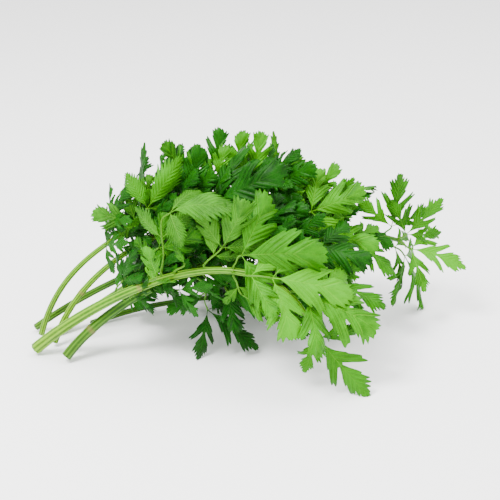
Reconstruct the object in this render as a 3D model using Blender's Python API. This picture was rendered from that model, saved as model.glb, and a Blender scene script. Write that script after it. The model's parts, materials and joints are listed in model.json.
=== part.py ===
"""A loose bunch of freshly cut leaf celery, lying on its side as it was put down.

Seven cut stems start together at -X, arch up over the surface and end inside the leaves at +X.
Every leaf is its own piece: a thin round stalk with one or three lobed leaflets. Nothing is tied.
Lengths in the tables are in millimetres: +X runs along the stems, +Y away, +Z up. Places are chosen
on a 5 mm grid, apart from the heights of the stems' cut ends and of the low stem. A leaf that would
touch another one moves a little until it is clear.
"""

import math
from dataclasses import dataclass

import bmesh
import bpy
from mathutils import Matrix, Vector
from mathutils.bvhtree import BVHTree
from mathutils.geometry import interpolate_bezier

MM = 0.001

# Stems
STEM_STEP = 9.0  # length of one straight stretch of a stem
STEM_SIDES = 1  # bevel_resolution of the stems: 6 sides
ARCH_FINENESS = 120  # points of a stem's curve before it is read evenly

# Leaf stalks
STALK_RADIUS = 0.75
STALK_GAP = 0.5  # clear space between a stem and the end of the stalk that grows from it
STALK_POINTS = 5
HUB_RADIUS = 1.2  # the stalk's thickened end, where the leaflets meet
HUB_LENGTH = 1.2
BLADE_SEAT = 0.17  # how far above the stalk's middle the leaflets start
STALK_LEAVES = 0.28  # how far a stalk runs straight out of its stem, as a share of its reach
STALK_ARRIVES = 0.33  # how far it runs straight into its leaflets
LEAST_STRETCH = 1.0  # the shortest straight stretch of a stalk
SHARPEST_BEND = 62.0  # degrees between two stretches of a stalk

# Leaflets
BLADE_THICKNESS = 0.6
BLADE_START = 0.015  # where the blade starts, in leaflet lengths from its hub
SIDE_ANGLE = 60.0  # degrees between the middle leaflet and a side one
SIDE_PITCH = 12.0  # degrees that a side leaflet hangs below the middle one
KEEL_RISE = 0.16  # rise of the blade's halves for each unit away from the midrib
LOBE_SWEEP = 0.10  # how far the side lobes point forward
# Half of the leaflet's outline: (place along the midrib, half-width), in leaflet lengths
OUTLINE = ((0.0, 0.02), (0.30, 0.12), (0.55, 0.34), (0.64, 0.15), (0.82, 0.18), (1.0, 0.015))

# Clearance
CLEARANCE = 0.45  # least space between two pieces
SHIFT_STEP = 2.0  # one step of a leaf that makes room for its neighbours
SHIFT_STEPS = 7
TILT_STEP = 9.0  # degrees
LEAST_HEIGHT = 1.0  # of a leaf that doesn't rest on the surface
SHRINK = 0.1  # one step of a leaf that grows smaller to fit
TILT_COST = 1.2  # how much worse a step of each kind is than one of the shift
SLIDE_COST = 0.9
SHRINK_COST = 2.5

UP = (0.0, 0.0, 1.0)
FRONT = (0.0, -1.0, 0.0)
FRONT_UP = (0.0, -1.0, 1.0)
UP_FRONT = (0.0, -0.5, 1.0)
LEFT_UP = (-1.0, -0.6, 0.6)
RIGHT_UP = (1.0, -0.6, 0.8)
BACK_UP = (0.0, 1.0, 1.0)

MATERIALS = {  # name: (base colour, roughness)
    "stem_green": ((0.27, 0.42, 0.10), 0.42),
    "stem_dark": ((0.16, 0.30, 0.07), 0.45),
    "leaf_mid": ((0.10, 0.32, 0.05), 0.50),
    "leaf_dark": ((0.035, 0.17, 0.03), 0.48),
    "leaf_young": ((0.22, 0.45, 0.06), 0.50),
    "leaf_underside": ((0.24, 0.42, 0.20), 0.62),
}


@dataclass(frozen=True)
class Stem:
    """One cut stem: its radius at the cut and at its end, and the four handles of its arch.

    The handles are those of one cubic curve: the cut end, two that pull the stem, and its far end.
    """

    name: str
    material: str
    radii: tuple
    arch: tuple


@dataclass(frozen=True)
class Leaf:
    """One leaf, placed from its stem.

    The stalk starts at a share of the stem's length and carries the leaflets right, away and up
    from there. The blade is the middle leaflet's run from its base to its tip, in the same three
    directions.
    """

    name: str
    stem: str
    at: float
    stalk: tuple
    blade: tuple
    leaflets: int
    faces: tuple
    material: str
    bend: float = 25.0
    rests: bool = False
    side: float = 0.78  # length of a side leaflet against the middle one


STEMS = (
    Stem("stem_front", "stem_green", (3.6, 1.3),
         ((-130, -20, 4), (-80, -25, 50), (5, -40, 95), (35, -60, 45))),
    Stem("stem_thick", "stem_dark", (3.1, 2.0),
         ((-110, -30, 4), (-80, -15, 40), (-20, -10, 65), (40, -20, 75))),
    Stem("stem_upper", "stem_green", (2.0, 1.3),
         ((-120, -10, 3), (-100, 0, 60), (-40, 20, 75), (25, 25, 90))),
    Stem("stem_arching", "stem_green", (1.9, 1.2),
         ((-130, 0, 3), (-115, 10, 55), (-75, 0, 70), (-25, 15, 100))),
    Stem("stem_long", "stem_dark", (2.2, 1.3),
         ((-135, 10, 3), (-60, 10, 60), (35, 15, 80), (95, 30, 55))),
    Stem("stem_back", "stem_green", (2.6, 1.5),
         ((-120, 5, 3), (-90, 30, 10), (-30, 45, 65), (55, 40, 60))),
    Stem("stem_low", "stem_dark", (2.1, 1.1),
         ((-100, 15, 3), (-75, 40, 3), (-30, 50, 8), (30, 45, 8))),
)

LEAVES = (
    # The front stem: the leaves in front, and the one that arches over the stems
    Leaf("leaf_front_fan", "stem_front", 0.65, (10, 0, 15), (15, -5, 30), 3, FRONT, "leaf_underside", 18),
    Leaf("leaf_front_long", "stem_front", 0.75, (5, 0, 10), (45, -10, 10), 3, FRONT_UP, "leaf_mid"),
    Leaf("leaf_front_broad", "stem_front", 0.80, (5, -10, 5), (45, -10, 0), 3, FRONT_UP, "leaf_young"),
    Leaf("leaf_front_low", "stem_front", 0.90, (10, -5, 0), (40, -5, -15), 3, FRONT_UP, "leaf_young", 30),
    Leaf("leaf_front_drooping", "stem_front", 1.00, (5, -5, -10), (30, -5, -35), 3, FRONT, "leaf_mid", 12,
         rests=True, side=0.55),
    Leaf("leaf_front_tongue", "stem_front", 0.75, (5, -10, -10), (20, -5, -15), 1, FRONT_UP,
         "leaf_underside"),
    Leaf("leaf_front_hanging", "stem_front", 0.85, (5, 5, -15), (10, -5, -20), 1, FRONT, "leaf_mid", 15),
    Leaf("leaf_arching", "stem_front", 0.50, (5, 5, 40), (40, -10, 0), 3, UP_FRONT, "leaf_underside", 60,
         side=0.6),
    Leaf("leaf_left_low", "stem_front", 0.45, (5, 5, 20), (25, -5, 10), 3, FRONT, "leaf_mid"),
    Leaf("leaf_young", "stem_front", 0.45, (5, -10, 10), (-5, -5, 20), 1, FRONT, "leaf_young", 20),
    Leaf("leaf_axil", "stem_front", 0.55, (5, -5, 10), (-5, -5, 15), 1, FRONT, "leaf_mid"),
    Leaf("leaf_low_left", "stem_front", 0.60, (5, 10, -20), (-20, 0, -10), 1, FRONT_UP, "leaf_dark", 20),
    # The arching stem: the upright leaves at the left
    Leaf("leaf_left_pair", "stem_arching", 0.65, (5, -10, 10), (-25, 0, 5), 3, FRONT, "leaf_underside", 15),
    Leaf("leaf_left_curl", "stem_arching", 0.70, (0, 0, 15), (5, 0, 35), 1, LEFT_UP, "leaf_dark", 10),
    Leaf("leaf_left_fan", "stem_arching", 0.70, (5, -15, 15), (20, 5, 30), 3, FRONT, "leaf_mid", 20,
         side=0.65),
    Leaf("leaf_left_small", "stem_arching", 0.75, (-5, -10, 15), (5, 0, 15), 1, FRONT, "leaf_underside", 20),
    Leaf("leaf_top_left", "stem_arching", 0.90, (5, 0, 15), (-15, 0, 20), 3, FRONT, "leaf_mid", 15),
    Leaf("leaf_top_spire", "stem_arching", 1.00, (5, 5, 5), (5, 5, 25), 3, FRONT, "leaf_dark", 15),
    Leaf("leaf_left_inner", "stem_arching", 0.85, (5, -10, 10), (10, 0, 25), 3, FRONT, "leaf_dark", 20),
    # The upper stem: the crown
    Leaf("leaf_big_dark", "stem_upper", 0.70, (10, -25, 20), (40, -10, 20), 3, FRONT_UP, "leaf_dark"),
    Leaf("leaf_crown_left", "stem_upper", 0.75, (0, -10, 25), (5, 0, 20), 3, FRONT, "leaf_mid", 20),
    Leaf("leaf_crown_middle", "stem_upper", 0.80, (5, 5, 20), (0, 5, 25), 3, FRONT, "leaf_mid", 20),
    Leaf("leaf_crown_bright", "stem_upper", 0.85, (5, -5, 20), (5, 5, 25), 3, FRONT, "leaf_young", 20),
    Leaf("leaf_crown_fingers", "stem_upper", 0.90, (10, 5, 15), (0, 5, 25), 3, FRONT, "leaf_underside", 12),
    Leaf("leaf_crown_right", "stem_upper", 0.95, (10, -15, 5), (10, 0, 20), 3, FRONT, "leaf_mid", 20),
    Leaf("leaf_crown_far", "stem_upper", 1.00, (15, -10, 0), (15, 0, 20), 3, FRONT_UP, "leaf_mid", 20),
    # The thick stem: the middle, and the shaded leaves below it
    Leaf("leaf_middle_dark", "stem_thick", 0.85, (0, 0, 15), (20, -5, 15), 3, FRONT_UP, "leaf_dark", 20),
    Leaf("leaf_middle_right", "stem_thick", 0.95, (10, -10, 5), (30, -10, -5), 3, FRONT_UP, "leaf_dark", 30),
    Leaf("leaf_middle_inner", "stem_thick", 0.70, (0, -10, 15), (10, -5, 15), 1, FRONT, "leaf_dark", 15),
    Leaf("leaf_front_tips", "stem_thick", 1.00, (10, -20, -15), (30, -10, -10), 3, FRONT_UP, "leaf_mid", 30),
    Leaf("leaf_low_pair", "stem_thick", 0.60, (5, 0, -30), (30, -5, -25), 3, FRONT_UP, "leaf_dark", 15,
         rests=True),
    Leaf("leaf_low_long", "stem_thick", 0.70, (0, -5, -20), (30, -10, -5), 3, FRONT_UP, "leaf_dark"),
    Leaf("leaf_low_middle", "stem_thick", 0.85, (5, 5, -25), (20, -10, -20), 3, FRONT_UP, "leaf_dark", 20),
    # The long stem: the right-hand leaves and the sprig at its end
    Leaf("leaf_right_horn", "stem_long", 0.75, (15, -5, 20), (15, 0, 20), 3, FRONT, "leaf_mid", 20),
    Leaf("leaf_right_bright", "stem_long", 0.70, (15, -15, 20), (30, -5, 15), 3, FRONT_UP, "leaf_young"),
    Leaf("leaf_right_low", "stem_long", 0.75, (10, -25, 10), (35, -5, 0), 3, FRONT_UP, "leaf_young", 30),
    Leaf("leaf_right_drop", "stem_long", 0.80, (10, -25, 5), (30, -10, -15), 3, FRONT_UP, "leaf_mid", 35),
    Leaf("leaf_right_dark", "stem_long", 0.85, (10, -10, 5), (20, -5, -5), 1, FRONT_UP, "leaf_dark", 30),
    Leaf("leaf_right_thread", "stem_long", 0.90, (10, -10, -10), (10, -5, -15), 1, RIGHT_UP, "leaf_mid", 20),
    Leaf("leaf_end_upper", "stem_long", 0.95, (5, 5, 5), (5, 0, 35), 3, FRONT, "leaf_mid", 18),
    Leaf("leaf_end_middle", "stem_long", 1.00, (5, 0, 5), (20, 0, 25), 3, FRONT, "leaf_mid", 22),
    Leaf("leaf_end_right", "stem_long", 1.00, (10, -5, 0), (35, -5, -10), 3, FRONT_UP, "leaf_young", 35),
    Leaf("leaf_end_low", "stem_long", 0.95, (15, 10, -15), (15, 5, -40), 3, RIGHT_UP, "leaf_mid", 15,
         rests=True),
    Leaf("leaf_low_inner", "stem_long", 0.60, (5, 0, -30), (10, -5, -20), 3, FRONT_UP, "leaf_dark", 20),
    Leaf("leaf_low_right", "stem_long", 0.80, (0, -10, -25), (20, -10, -20), 3, RIGHT_UP, "leaf_dark", 20),
    # The back stem and the low stem: the far side
    Leaf("leaf_back_left", "stem_back", 0.55, (-5, 5, 20), (-20, 5, 20), 3, BACK_UP, "leaf_mid", 20),
    Leaf("leaf_back_top", "stem_back", 0.65, (0, 5, 25), (5, 0, 30), 3, BACK_UP, "leaf_mid"),
    Leaf("leaf_back_middle", "stem_back", 0.80, (0, 5, 20), (15, 5, 25), 3, BACK_UP, "leaf_dark"),
    Leaf("leaf_back_right", "stem_back", 0.95, (5, 5, 15), (30, 0, 10), 3, BACK_UP, "leaf_mid", 30),
    Leaf("leaf_back_side", "stem_back", 0.75, (5, 15, -5), (25, 5, -15), 3, BACK_UP, "leaf_mid", 30),
    Leaf("leaf_ground_back", "stem_low", 1.00, (5, 0, 10), (30, 0, -15), 3, UP, "leaf_dark", rests=True),
    Leaf("leaf_ground_left", "stem_low", 0.55, (5, 5, 10), (25, 5, -10), 3, UP, "leaf_dark", rests=True),
)


def remove_old_objects():
    """Empties the scene."""
    for old in list(bpy.data.objects):
        bpy.data.objects.remove(old, do_unlink=True)


def make_materials():
    """Makes one plain Principled material for each finish.

    Returns:
        The materials by name.
    """
    made = {}
    for name, (colour, roughness) in MATERIALS.items():
        material = bpy.data.materials.new(name)
        material.use_nodes = True
        shader = material.node_tree.nodes["Principled BSDF"]
        shader.inputs["Base Color"].default_value = (*colour, 1.0)
        shader.inputs["Roughness"].default_value = roughness
        shader.inputs["Metallic"].default_value = 0.0
        made[name] = material
    return made


def even_arch(handles, step):
    """Reads one cubic curve at an even step.

    Args:
        handles: The curve's four handles.
        step: About how far apart the read points are.

    Returns:
        The read points, first and last included.
    """
    fine = interpolate_bezier(*(Vector(handle) for handle in handles), ARCH_FINENESS)
    total = sum((b - a).length for a, b in zip(fine, fine[1:]))
    count = max(2, round(total / step))
    read, walked, target = [fine[0]], 0.0, total / count
    for a, b in zip(fine, fine[1:]):
        length = (b - a).length
        while walked + length >= target and len(read) < count:
            read.append(a.lerp(b, (target - walked) / length))
            target += total / count
        walked += length
    return [*read, fine[-1]]


def tube_object(name, points, radii, sides):
    """Makes a round tube along points, as a curve with filled caps.

    Args:
        name: The object's name.
        points: Points of the centreline, in millimetres.
        radii: One radius for each point, in millimetres.
        sides: The curve's bevel_resolution.

    Returns:
        The curve object, linked to the scene.
    """
    curve = bpy.data.curves.new(name, "CURVE")
    curve.dimensions = "3D"
    curve.bevel_depth = MM
    curve.bevel_resolution = sides
    curve.use_fill_caps = True
    spline = curve.splines.new("POLY")
    spline.points.add(len(points) - 1)
    for spot, point, radius in zip(spline.points, points, radii):
        spot.co = (*(point * MM), 1.0)
        spot.radius = radius
    tube = bpy.data.objects.new(name, curve)
    bpy.context.scene.collection.objects.link(tube)
    return tube


def curve_to_mesh(tube):
    """Replaces a curve object by the mesh object that it draws, with its caps welded.

    Args:
        tube: The curve object, which is removed.

    Returns:
        The mesh object, linked to the scene.
    """
    name = tube.name
    graph = bpy.context.evaluated_depsgraph_get()
    mesh = bpy.data.meshes.new_from_object(tube.evaluated_get(graph))
    bpy.data.objects.remove(tube, do_unlink=True)
    shape = bmesh.new()
    shape.from_mesh(mesh)
    bmesh.ops.remove_doubles(shape, verts=shape.verts, dist=0.01 * MM)
    bmesh.ops.recalc_face_normals(shape, faces=shape.faces)
    shape.to_mesh(mesh)
    shape.free()
    solid = bpy.data.objects.new(name, mesh)
    bpy.context.scene.collection.objects.link(solid)
    return solid


def make_stem(stem):
    """Models one stem.

    Args:
        stem: Its row in STEMS.

    Returns:
        The stem's object and the points of its centreline.
    """
    points = even_arch(stem.arch, STEM_STEP)
    last = len(points) - 1
    first, end = stem.radii
    radii = [first + (end - first) * i / last for i in range(last + 1)]
    return curve_to_mesh(tube_object(stem.name, points, radii, STEM_SIDES)), points


def stem_radius(stem, fraction):
    """Gives a stem's radius at a fraction of its length."""
    first, end = stem.radii
    return first + (end - first) * fraction


@dataclass
class Pose:
    """Where one leaf's stalk and leaflets lie, in millimetres."""

    stalk: list
    blades: list  # (base, axis, upper side, length) of each leaflet
    bend: float


def pose_leaf(leaf, stem, centreline, drop, shift, tilt, turn, slide, scale):
    """Works out where a leaf lies when it makes room for its neighbours.

    Args:
        leaf: Its row in LEAVES.
        stem: Its stem's row in STEMS.
        centreline: The points of that stem.
        drop: Millimetres that its leaflets come down.
        shift: Millimetres that the leaf moves towards its upper side.
        tilt: Degrees that its tip lifts.
        turn: Degrees that it rolls about its own length.
        slide: Stretches of the stem that its stalk starts further on.
        scale: Its size against the one in the table.

    Returns:
        The pose.
    """
    places = len(centreline) - 1
    join = centreline[round(leaf.at * places)] + Vector(leaf.stalk)
    axis = Vector(leaf.blade).normalized()
    upper = Vector(leaf.faces)
    upper = (upper - axis * upper.dot(axis)).normalized()
    side = axis.cross(upper)
    length = Vector(leaf.blade).length * scale
    lift = Matrix.Rotation(math.radians(tilt), 3, side)
    roll = Matrix.Rotation(math.radians(turn), 3, axis)
    axis = lift @ axis
    upper = roll @ (lift @ upper)
    join = join + upper * shift - Vector(UP) * drop

    place = min(max(round(leaf.at * places) + slide, 1), places)
    root = centreline[place]
    radius = stem_radius(stem, place / places)
    along = (root - centreline[place - 1]).normalized()
    away = join - root
    if place < places:
        away = away - along * away.dot(along)
    away = away.normalized() if away.length > 0.1 else Vector(UP)
    start = root + away * (radius + STALK_RADIUS + STALK_GAP)
    reach = (join - start).length
    leave = start + (away + along) * reach * STALK_LEAVES
    arrive = join - axis * reach * STALK_ARRIVES
    stalk = interpolate_bezier(start, leave, arrive, join, STALK_POINTS)
    stalk.append(join + axis * HUB_LENGTH)

    side = axis.cross(upper)
    blades = [(axis, upper, length)]
    if leaf.leaflets == 3:
        for hand in (-1, 1):
            swing = Matrix.Rotation(math.radians(SIDE_ANGLE * hand), 3, upper)
            outward = swing @ axis
            pitch = Matrix.Rotation(math.radians(-SIDE_PITCH), 3, outward.cross(upper))
            blades.append((pitch @ outward, pitch @ upper, length * leaf.side))
    seat = join + upper * BLADE_SEAT
    return Pose(stalk, [(seat, *blade) for blade in blades], leaf.bend)


def leaflet_mesh(blade, bend, thickness):
    """Models one leaflet: a grid moved to the lobed outline, bent along its length and thickened.

    Args:
        blade: The leaflet's base, axis, upper side and length.
        bend: Degrees that it curls down from base to tip.
        thickness: Its thickness in millimetres.

    Returns:
        A bmesh in metres.
    """
    base, axis, upper, length = blade
    angle = math.radians(bend)
    side = axis.cross(upper)
    start = Matrix.Rotation(angle / 2, 3, side) @ axis
    rise = side.cross(start)
    arc = length * (angle / 2) / math.sin(angle / 2)
    stations = len(OUTLINE) - 1
    shape = bmesh.new()
    bmesh.ops.create_grid(shape, x_segments=stations, y_segments=2, size=1.0)
    for corner in shape.verts:
        place, half_width = OUTLINE[round((corner.co.x + 1) / 2 * stations)]
        across = corner.co.y * half_width * length
        along = BLADE_START + (1 - BLADE_START) * place + LOBE_SWEEP * abs(corner.co.y) * half_width
        curl = angle * along
        forward = arc * math.sin(curl) / angle
        drop = arc * (1 - math.cos(curl)) / angle
        height = abs(across) * KEEL_RISE - drop
        corner.co = (base + start * forward + rise * height + side * across) * MM
    bmesh.ops.recalc_face_normals(shape, faces=shape.faces)
    shape.normal_update()
    for corner in shape.verts:
        corner.co += corner.normal * (thickness / 2 * MM)
    bmesh.ops.solidify(shape, geom=list(shape.faces), thickness=thickness * MM)
    bmesh.ops.recalc_face_normals(shape, faces=shape.faces)
    return shape


def envelope(pose, extra):
    """Makes a quick shape of a leaf for the clearance search.

    Args:
        pose: The leaf's pose.
        extra: Millimetres added all round.

    Returns:
        A BVH tree, and the height of its lowest point in millimetres.
    """
    whole = bmesh.new()
    room = bpy.data.meshes.new("room")
    for blade in pose.blades:
        shape = leaflet_mesh(blade, pose.bend, BLADE_THICKNESS + 2 * extra)
        shape.to_mesh(room)
        shape.free()
        whole.from_mesh(room)
    lowest = min(corner.co.z for corner in whole.verts) / MM + extra
    for a, b in zip(pose.stalk, pose.stalk[1:]):
        run = b - a
        middle = Matrix.Translation((a + b) / 2 * MM) @ run.to_track_quat("Z", "Y").to_matrix().to_4x4()
        radius = (STALK_RADIUS + extra) * MM
        bmesh.ops.create_cone(whole, cap_ends=True, segments=6, radius1=radius, radius2=radius,
                              depth=run.length * MM, matrix=middle)
    tree = BVHTree.FromBMesh(whole)
    whole.free()
    bpy.data.meshes.remove(room)
    return tree, lowest


def stalk_is_smooth(stalk):
    """Says whether a stalk's route bends gently enough for its tube."""
    runs = [b - a for a, b in zip(stalk, stalk[1:])]
    bends = [a.angle(b) for a, b in zip(runs, runs[1:])]
    return min(run.length for run in runs) >= LEAST_STRETCH and max(bends) <= math.radians(SHARPEST_BEND)


def search_order():
    """Lists the small moves that a leaf tries, the smallest first.

    Returns:
        Tuples of shift, tilt, turn, slide and scale.
    """
    moves = []
    for k in range(-SHIFT_STEPS, SHIFT_STEPS + 1):
        for tilt in (-2, -1, 0, 1, 2):
            for turn in (-2, -1, 0, 1, 2):
                for slide in (-2, -1, 0, 1):
                    for shrink in (0, 1, 2):
                        cost = abs(k) + TILT_COST * abs(tilt) + abs(turn)
                        cost += SLIDE_COST * abs(slide) + SHRINK_COST * shrink
                        scale = 1 - shrink * SHRINK
                        shift, lift, roll = k * SHIFT_STEP, tilt * TILT_STEP, turn * TILT_STEP
                        moves.append((cost, shift, lift, roll, slide, scale))
    return [move[1:] for move in sorted(moves)]


SEARCH = search_order()


def place_leaf(leaf, stems, lines, taken):
    """Finds a pose in which a leaf touches nothing that is already there.

    Args:
        leaf: Its row in LEAVES.
        stems: The stems' rows by name.
        lines: The stems' centrelines by name.
        taken: BVH trees of what is there, by name.

    Returns:
        The pose.

    Raises:
        RuntimeError: If there is no free place near the one in the table.
    """
    for move in SEARCH:
        pose = pose_leaf(leaf, stems[leaf.stem], lines[leaf.stem], 0.0, *move)
        if leaf.rests:
            drop = envelope(pose, 0.0)[1]
            pose = pose_leaf(leaf, stems[leaf.stem], lines[leaf.stem], drop, *move)
        if not stalk_is_smooth(pose.stalk):
            continue
        room, lowest = envelope(pose, CLEARANCE)
        if lowest < LEAST_HEIGHT and not leaf.rests:
            continue
        if not any(room.overlap(tree) for name, tree in taken.items() if name != leaf.stem):
            slim = envelope(pose, 0.0)[0]
            if not slim.overlap(taken[leaf.stem]):
                return pose
    raise RuntimeError(f"no room for {leaf.name}")


def make_leaf(leaf, pose):
    """Models one leaf as a single solid.

    Args:
        leaf: Its row in LEAVES.
        pose: Where it lies.

    Returns:
        The leaf's object.
    """
    last = len(pose.stalk) - 1
    radii = [STALK_RADIUS if i < last - 1 else HUB_RADIUS for i in range(last + 1)]
    solid = curve_to_mesh(tube_object(leaf.name, pose.stalk, radii, 1))
    blades = []
    for i, blade in enumerate(pose.blades):
        mesh = bpy.data.meshes.new(f"blade_{i}")
        shape = leaflet_mesh(blade, pose.bend, BLADE_THICKNESS)
        shape.to_mesh(mesh)
        shape.free()
        piece = bpy.data.objects.new(f"blade_{i}", mesh)
        bpy.context.scene.collection.objects.link(piece)
        union = solid.modifiers.new(f"join_{i}", "BOOLEAN")
        union.operation = "UNION"
        union.solver = "EXACT"
        union.use_self = True
        union.object = piece
        blades.append(piece)
    graph = bpy.context.evaluated_depsgraph_get()
    joined = bpy.data.meshes.new_from_object(solid.evaluated_get(graph))
    solid.modifiers.clear()
    solid.data = joined
    for piece in blades:
        bpy.data.objects.remove(piece, do_unlink=True)
    return solid


def object_tree(solid):
    """Makes a BVH tree of a finished mesh object."""
    shape = bmesh.new()
    shape.from_mesh(solid.data)
    tree = BVHTree.FromBMesh(shape)
    shape.free()
    return tree


def stand_on_origin(pieces):
    """Moves the whole bunch so that the middle of its box's underside is the origin."""
    spots = [corner.co for piece in pieces for corner in piece.data.vertices]
    low = Vector([min(spot[i] for spot in spots) for i in range(3)])
    high = Vector([max(spot[i] for spot in spots) for i in range(3)])
    origin = Vector(((low.x + high.x) / 2, (low.y + high.y) / 2, low.z))
    for piece in pieces:
        piece.data.transform(Matrix.Translation(-origin))


def main():
    """Builds the bunch."""
    remove_old_objects()
    materials = make_materials()
    stems = {stem.name: stem for stem in STEMS}
    lines, taken, pieces = {}, {}, []
    for stem in STEMS:
        solid, lines[stem.name] = make_stem(stem)
        solid.data.materials.append(materials[stem.material])
        taken[stem.name] = object_tree(solid)
        pieces.append(solid)
    for leaf in LEAVES:
        pose = place_leaf(leaf, stems, lines, taken)
        solid = make_leaf(leaf, pose)
        solid.data.materials.clear()
        solid.data.materials.append(materials[leaf.material])
        taken[leaf.name] = object_tree(solid)
        pieces.append(solid)
    stand_on_origin(pieces)
    bunch = bpy.data.collections.new("celery_leaf_bunch")
    bpy.context.scene.collection.children.link(bunch)
    for piece in pieces:
        for home in list(piece.users_collection):
            home.objects.unlink(piece)
        bunch.objects.link(piece)


if __name__ == "__main__":
    main()
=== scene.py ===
"""Finished look of a loose bunch of cut leaf celery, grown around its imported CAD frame.

The frame says where every stem, stalk and leaflet lies. Each CAD leaf is read back as a stalk
and one or three leaflets, and fine ones with lobes, teeth and veins take their places.
"""

import json
import logging
import math
import random
from dataclasses import dataclass, field
from enum import Enum

import bmesh
import bpy
from mathutils import Matrix, Vector
from mathutils.geometry import interpolate_bezier

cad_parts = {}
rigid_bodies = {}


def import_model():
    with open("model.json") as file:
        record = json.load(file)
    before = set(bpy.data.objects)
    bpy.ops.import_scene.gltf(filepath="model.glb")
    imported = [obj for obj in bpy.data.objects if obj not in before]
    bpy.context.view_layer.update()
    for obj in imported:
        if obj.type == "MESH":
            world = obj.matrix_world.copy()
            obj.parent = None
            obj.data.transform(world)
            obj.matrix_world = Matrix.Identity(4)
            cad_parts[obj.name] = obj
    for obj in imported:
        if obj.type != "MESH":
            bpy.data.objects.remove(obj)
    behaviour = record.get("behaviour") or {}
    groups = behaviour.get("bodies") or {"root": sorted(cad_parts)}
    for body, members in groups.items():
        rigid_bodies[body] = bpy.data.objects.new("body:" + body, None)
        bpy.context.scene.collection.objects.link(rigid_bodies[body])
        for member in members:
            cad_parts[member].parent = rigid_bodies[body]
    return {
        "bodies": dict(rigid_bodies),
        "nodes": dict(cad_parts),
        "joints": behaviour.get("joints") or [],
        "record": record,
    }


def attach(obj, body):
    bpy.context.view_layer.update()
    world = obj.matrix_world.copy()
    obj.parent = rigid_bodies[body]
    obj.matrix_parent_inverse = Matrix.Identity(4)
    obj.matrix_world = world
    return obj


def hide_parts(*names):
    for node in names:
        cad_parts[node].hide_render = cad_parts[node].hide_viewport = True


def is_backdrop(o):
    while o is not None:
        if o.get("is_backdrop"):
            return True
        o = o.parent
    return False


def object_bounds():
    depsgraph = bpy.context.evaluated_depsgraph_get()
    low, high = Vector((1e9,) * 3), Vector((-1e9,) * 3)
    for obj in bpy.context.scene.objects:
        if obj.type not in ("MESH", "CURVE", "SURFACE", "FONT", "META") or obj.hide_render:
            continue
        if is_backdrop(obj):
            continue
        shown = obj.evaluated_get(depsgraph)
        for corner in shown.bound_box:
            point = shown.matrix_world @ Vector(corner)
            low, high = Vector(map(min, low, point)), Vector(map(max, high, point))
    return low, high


log = logging.getLogger("celery_bunch")

MM = 0.001
WELD = 1e-5
BODY = "root"
REST_HEIGHT = 0.3 * MM  # a blade that reaches the surface lies this high, at its middle
ROUND_SLACK = 1.06  # how much further than the nearest corner the furthest of a round face may lie
LEAF_LAYERS = ("reach", "share", "phase", "tint", "along")
TUBE_LAYERS = ("along", "rib", "blush")
UP = Vector((0.0, 0.0, 1.0))


# ---------------------------------------------------------------- what the frame holds


@dataclass
class BladePlace:
    """Where one leaflet lies: its base and tip, its upper side and how far it bends down."""

    base: Vector
    tip: Vector
    upper: Vector
    bend: float

    @property
    def length(self) -> float:
        """The straight distance from base to tip."""
        return (self.tip - self.base).length


@dataclass
class LeafPlace:
    """Where one leaf lies: its node, its finish, the line of its stalk and its leaflets."""

    node: str
    slot: str
    stalk: list[Vector]
    blades: list[BladePlace]


@dataclass
class StemPlace:
    """Where one stem lies: its node, its finish, and the middle and radius of each ring."""

    node: str
    slot: str
    line: list[Vector]
    radii: list[float]


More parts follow.
